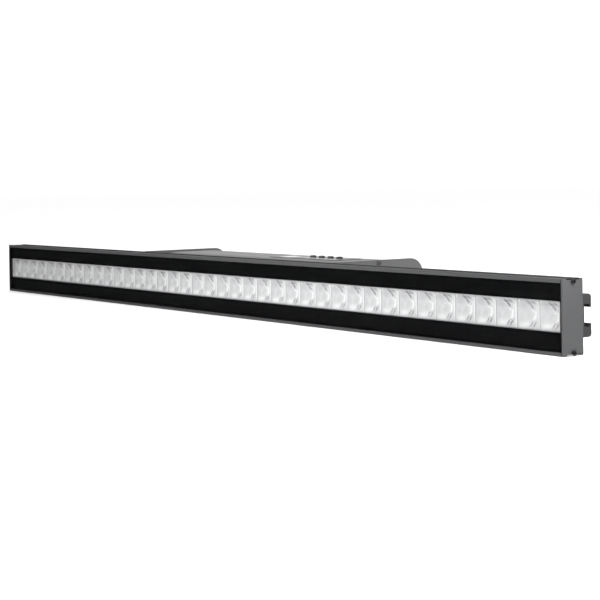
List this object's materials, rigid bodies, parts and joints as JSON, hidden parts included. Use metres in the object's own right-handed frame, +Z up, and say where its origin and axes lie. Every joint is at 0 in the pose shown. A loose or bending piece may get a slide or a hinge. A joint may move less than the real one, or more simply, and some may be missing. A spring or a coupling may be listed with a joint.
{
  "type": "led light bar",
  "caption": "Slim linear LED light bar: dark aluminium housing with a front row of square lenses behind black-edged glass, rear T-slot rail and a driver box with push-buttons.",
  "frame": {"origin": "centre of the bounding box at the underside", "axes": "+X along the bar, to the right as seen from the lens side; the lenses face -Y; +Y to the driver box; +Z up"},
  "size_m": [1.0132, 0.136, 0.0631],
  "materials": {
    "bar_coating": "fine dark grey powder coat",
    "box_coating": "satin grey coat",
    "cover_glass": "clear polished",
    "black_print": "deep black print",
    "seal_rubber": "matte",
    "reflector": "bright white",
    "lens": "clear polished",
    "circuit_board": "white solder mask",
    "plain_steel": "zinc plated",
    "supply_case": "plain sheet",
    "cable_jacket": "matte",
    "overlay_film": "glossy film",
    "display_glass": "polished",
    "black_screw": "black oxide",
    "socket_plastic": "moulded",
    "button_rubber": "satin"
  },
  "bodies": {
    "root": {"housing_channel": "bar_coating", "rear_rail": "bar_coating", "cover_glass": "cover_glass", "upper_mask": "black_print", "lower_mask": "black_print", "glass_gasket": "seal_rubber", "lens_holder": "reflector", "lens_array_1": "lens", "led_board_1": "circuit_board", "lens_array_2": "lens", "led_board_2": "circuit_board", "lens_array_3": "lens", "led_board_3": "circuit_board", "lens_array_4": "lens", "led_board_4": "circuit_board", "lens_array_5": "lens", "led_board_5": "circuit_board", "driver_box_shell": "box_coating", "driver_mount_plate": "plain_steel", "wire_grommet": "seal_rubber", "led_harness": "cable_jacket", "power_supply": "supply_case", "control_board": "circuit_board", "switch_board": "circuit_board", "control_overlay": "overlay_film", "display_window": "display_glass", "end_plate_left": "bar_coating", "end_gasket_left": "seal_rubber", "end_screw_left_top": "black_screw", "end_screw_left_bottom": "black_screw", "side_plate_left": "bar_coating", "side_gasket_left": "seal_rubber", "side_screw_left_1": "black_screw", "side_screw_left_2": "black_screw", "side_screw_left_3": "black_screw", "rail_bolt_left": "plain_steel", "power_out_socket": "socket_plastic", "data_out_socket": "socket_plastic", "end_plate_right": "bar_coating", "end_gasket_right": "seal_rubber", "end_screw_right_top": "black_screw", "end_screw_right_bottom": "black_screw", "side_plate_right": "bar_coating", "side_gasket_right": "seal_rubber", "side_screw_right_1": "black_screw", "side_screw_right_2": "black_screw", "side_screw_right_3": "black_screw", "rail_bolt_right": "plain_steel", "power_in_socket": "socket_plastic", "data_in_socket": "socket_plastic"},
    "menu_button_body": {"menu_button": "button_rubber"},
    "up_button_body": {"up_button": "button_rubber"},
    "down_button_body": {"down_button": "button_rubber"},
    "enter_button_body": {"enter_button": "button_rubber"}
  },
  "joints": [
    {"name": "menu_press", "type": "slide", "parent": "root", "child": "menu_button_body", "axis": [0, 0, -1], "range_m": [0, 0.001], "stiffness_N_per_m": 400},
    {"name": "up_press", "type": "slide", "parent": "root", "child": "up_button_body", "axis": [0, 0, -1], "range_m": [0, 0.001], "stiffness_N_per_m": 400},
    {"name": "down_press", "type": "slide", "parent": "root", "child": "down_button_body", "axis": [0, 0, -1], "range_m": [0, 0.001], "stiffness_N_per_m": 400},
    {"name": "enter_press", "type": "slide", "parent": "root", "child": "enter_button_body", "axis": [0, 0, -1], "range_m": [0, 0.001], "stiffness_N_per_m": 400}
  ]
}
